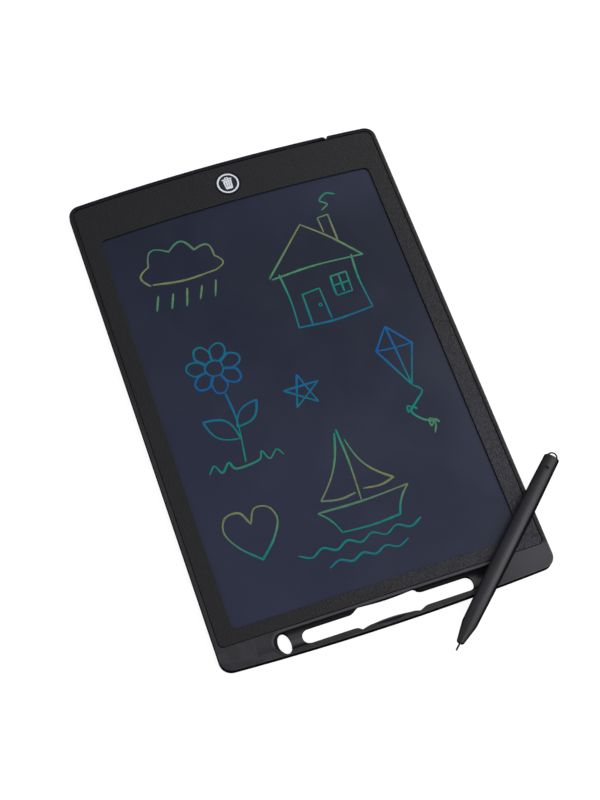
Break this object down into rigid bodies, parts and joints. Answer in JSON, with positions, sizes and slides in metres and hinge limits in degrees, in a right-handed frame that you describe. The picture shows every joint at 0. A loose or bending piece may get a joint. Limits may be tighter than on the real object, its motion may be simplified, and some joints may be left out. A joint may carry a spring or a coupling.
{
  "type": "lcd writing tablet",
  "caption": "Flat liquid-crystal writing tablet with dark screen, textured bezel, erase key, pen trough with slot, battery drawer and a loose stylus across its corner.",
  "frame": {"origin": "middle of the tablet's flat rear face", "axes": "+Z out of the writing side, +Y towards the edge with the erase key, +X to the right of someone who writes on it"},
  "size_m": [0.2095, 0.316, 0.0132],
  "materials": {
    "smooth_dark_plastic": "smooth moulded, faint mottling, soft sheen",
    "grained_dark_plastic": "fine sand grain",
    "rear_dark_plastic": "fine spark-eroded grain",
    "slate_writing_film": "smooth dark slate blue film with a soft sheen",
    "black_backing_sheet": "flat black sheet",
    "grey_support_board": "pressed grey board",
    "gloss_black_key": "gloss black with a pale ring and sign",
    "white_plastic": "plain white",
    "black_epoxy": "moulded epoxy",
    "green_board": "green solder mask",
    "grey_ferrite": "sintered ferrite",
    "tan_ceramic": "fired ceramic",
    "copper_foil": "bright foil",
    "nickel_steel": "nickel plated",
    "satin_dark_plastic": "satin moulded",
    "black_pin": "satin"
  },
  "bodies": {
    "tablet": {"outer_frame": "smooth_dark_plastic", "back_cover": "rear_dark_plastic", "front_panel": "grained_dark_plastic", "lcd_film": "slate_writing_film", "lcd_backing": "black_backing_sheet", "support_plate": "grey_support_board", "circuit_board": "green_board", "driver_chip": "black_epoxy", "boost_inductor": "grey_ferrite", "storage_capacitor_1": "tan_ceramic", "storage_capacitor_2": "tan_ceramic", "rectifier_diode": "black_epoxy", "lcd_tail_left": "copper_foil", "lcd_tail_right": "copper_foil", "tact_switch_body": "black_epoxy", "battery_contact_positive": "nickel_steel", "battery_contact_negative": "nickel_steel", "lock_switch_body": "black_epoxy"},
    "erase_key": {"erase_key": "gloss_black_key", "tact_switch_plunger": "white_plastic"},
    "battery_tray": {"battery_tray": "smooth_dark_plastic", "coin_cell": "nickel_steel"},
    "lock_slider": {"lock_slider": "rear_dark_plastic", "lock_switch_pin": "white_plastic"},
    "stylus": {"stylus_barrel": "satin_dark_plastic", "stylus_tip": "black_pin", "stylus_tail_plug": "satin_dark_plastic"}
  },
  "joints": [
    {"name": "erase_key_press", "type": "slide", "parent": "tablet", "child": "erase_key", "axis": [0, 0, -1], "range_m": [0, 0.0003], "stiffness_N_per_m": 2000, "springref_m": -0.0001},
    {"name": "battery_tray_slide", "type": "slide", "parent": "tablet", "child": "battery_tray", "axis": [0, 1, 0], "range_m": [0, 0.024]},
    {"name": "lock_slide", "type": "slide", "parent": "tablet", "child": "lock_slider", "axis": [1, 0, 0], "range_m": [0, 0.003]},
    {"name": "stylus_lift", "type": "slide", "parent": "tablet", "child": "stylus", "axis": [0, 0, 1], "range_m": [0, 0.04]}
  ]
}
